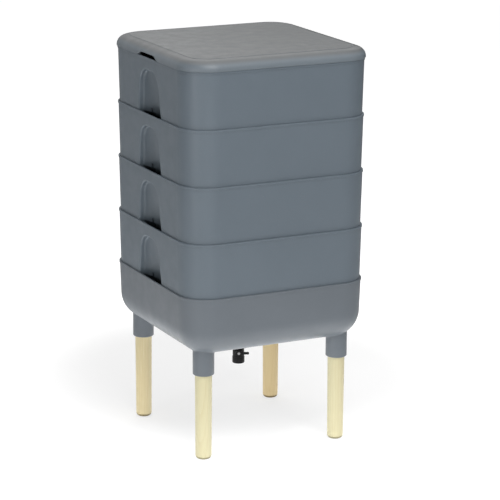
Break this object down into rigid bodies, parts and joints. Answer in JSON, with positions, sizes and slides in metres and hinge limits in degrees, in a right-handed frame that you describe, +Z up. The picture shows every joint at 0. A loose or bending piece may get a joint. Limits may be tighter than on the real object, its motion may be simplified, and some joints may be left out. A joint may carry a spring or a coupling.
{
  "type": "wormery",
  "caption": "Stacking worm composter: lidded square trays with hand pockets, nested over a rounded reservoir with a drain tap, on turned wooden legs.",
  "frame": {"origin": "on the floor under the middle of the wormery", "axes": "+Z up; the front, -Y, is a plain side, and the hand pockets face -X and +X"},
  "size_m": [0.391, 0.391, 0.7837],
  "materials": {
    "grey_plastic": "satin moulded polypropylene",
    "beech": "sanded pale dowel",
    "black_plastic": "moulded black",
    "seal": "soft seal",
    "screw_steel": "plain steel"
  },
  "bodies": {
    "stand": {"base_reservoir": "grey_plastic", "leg_front_left": "beech", "leg_front_right": "beech", "leg_back_left": "beech", "leg_back_right": "beech", "spigot_body": "black_plastic", "spigot_seat_upper": "seal", "spigot_seat_lower": "seal", "spigot_stem_o_ring": "seal", "spigot_outlet_collar": "black_plastic", "spigot_gasket_outer": "seal", "spigot_gasket_inner": "seal", "spigot_lock_nut": "black_plastic"},
    "lower_tray": {"tray_4": "grey_plastic"},
    "third_tray": {"tray_3": "grey_plastic"},
    "second_tray": {"tray_2": "grey_plastic"},
    "top_tray": {"tray_1": "grey_plastic"},
    "cover": {"lid": "grey_plastic"},
    "tap_handle": {"spigot_lever": "black_plastic", "spigot_stem": "black_plastic", "spigot_ball": "black_plastic", "spigot_lever_screw": "screw_steel"}
  },
  "joints": [
    {"name": "tray_4_lift", "type": "slide", "parent": "stand", "child": "lower_tray", "axis": [0, 0, 1], "range_m": [0, 0.12]},
    {"name": "tray_3_lift", "type": "slide", "parent": "lower_tray", "child": "third_tray", "axis": [0, 0, 1], "range_m": [0, 0.12]},
    {"name": "tray_2_lift", "type": "slide", "parent": "third_tray", "child": "second_tray", "axis": [0, 0, 1], "range_m": [0, 0.12]},
    {"name": "tray_1_lift", "type": "slide", "parent": "second_tray", "child": "top_tray", "axis": [0, 0, 1], "range_m": [0, 0.12]},
    {"name": "lid_lift", "type": "slide", "parent": "top_tray", "child": "cover", "axis": [0, 0, 1], "range_m": [0, 0.12]},
    {"name": "tap_turn", "type": "hinge", "parent": "stand", "child": "tap_handle", "pos_m": [0, 0, 0.1573], "axis": [0.3907, 0.9205, 0], "range_deg": [0, 90]}
  ]
}
